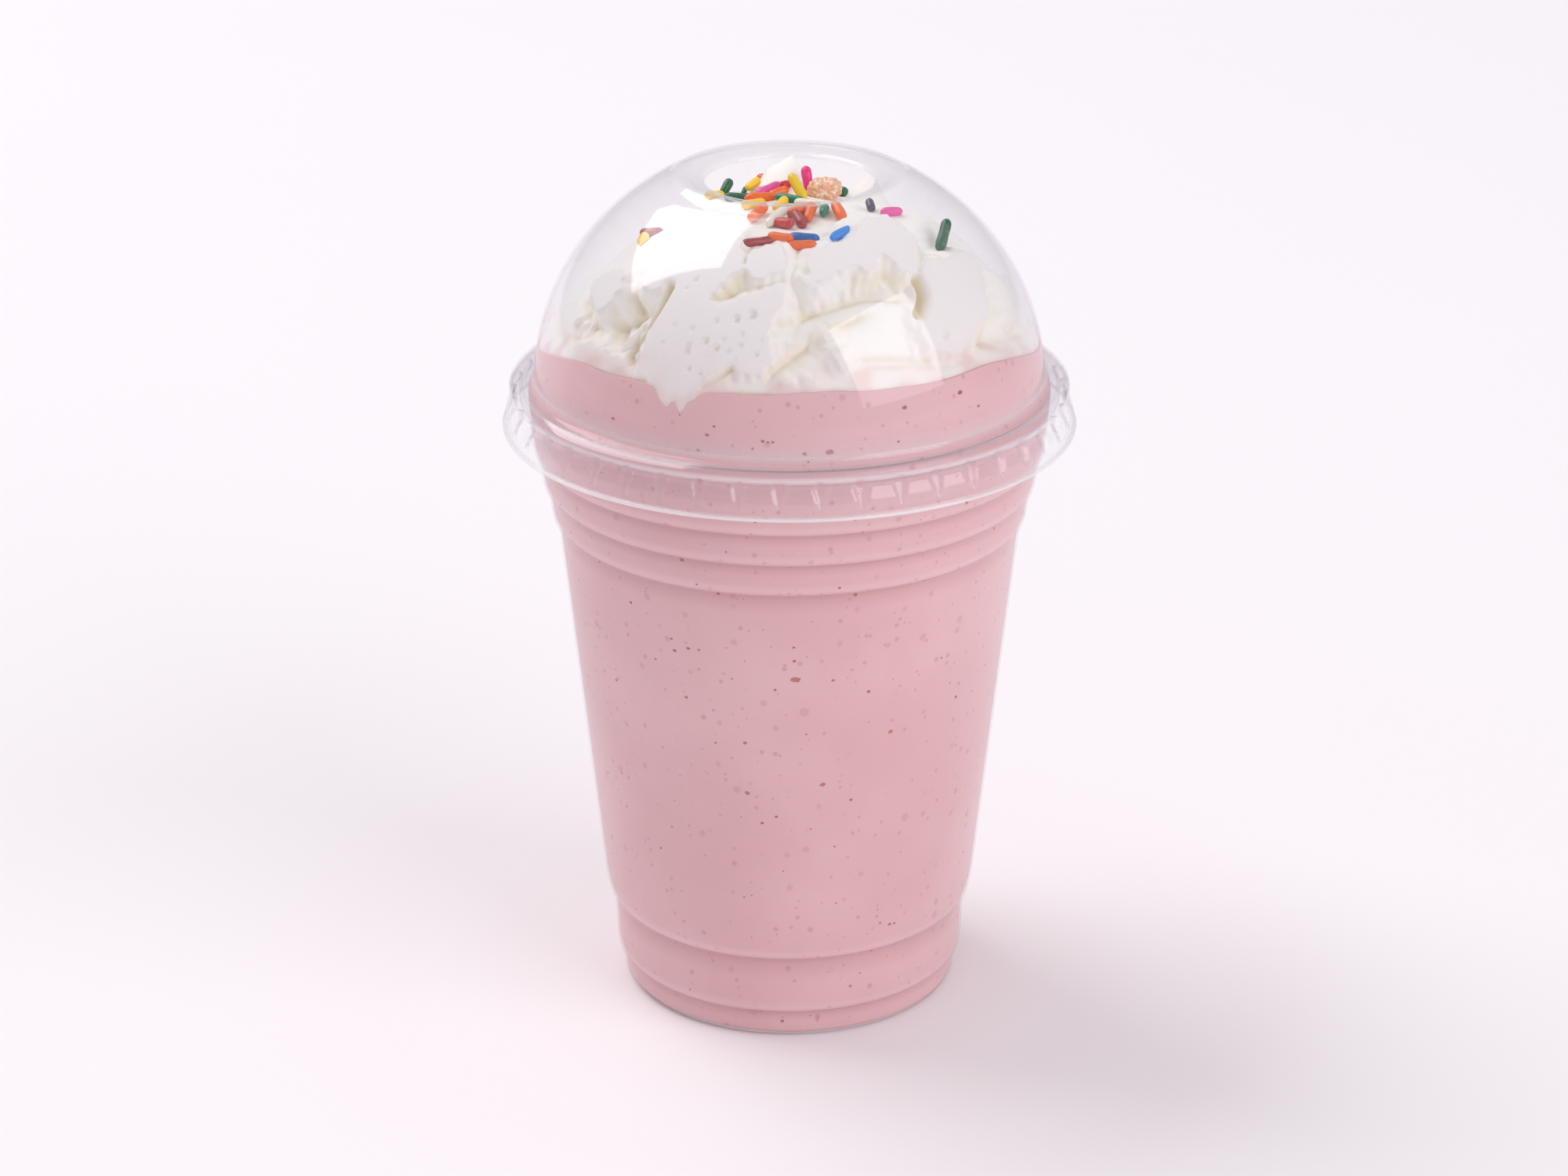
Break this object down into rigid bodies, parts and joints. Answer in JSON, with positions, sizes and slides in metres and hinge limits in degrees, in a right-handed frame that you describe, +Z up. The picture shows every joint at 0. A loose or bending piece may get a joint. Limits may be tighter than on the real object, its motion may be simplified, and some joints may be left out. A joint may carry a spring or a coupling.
{
  "type": "milkshake",
  "caption": "Pink milkshake in a clear ribbed takeaway cup with a clear domed lid, whipped cream and coloured sprinkles under the dome.",
  "frame": {"origin": "middle of the ring that the cup stands on, on the surface it stands on", "axes": "+Z up along the cup's axis, -Y towards the front, +X to the right of the front"},
  "size_m": [0.1042, 0.1042, 0.1581],
  "materials": {
    "clear_plastic": "clear thin thermoformed plastic, high gloss",
    "shake": "smooth opaque pink milk drink with fine dark red specks",
    "cream": "soft satin whipped cream",
    "sprinkles": "glazed sugar rods in mixed colours"
  },
  "bodies": {
    "root": {"cup": "clear_plastic", "lid": "clear_plastic", "milkshake": "shake", "whipped_cream": "cream"}
  },
  "joints": []
}
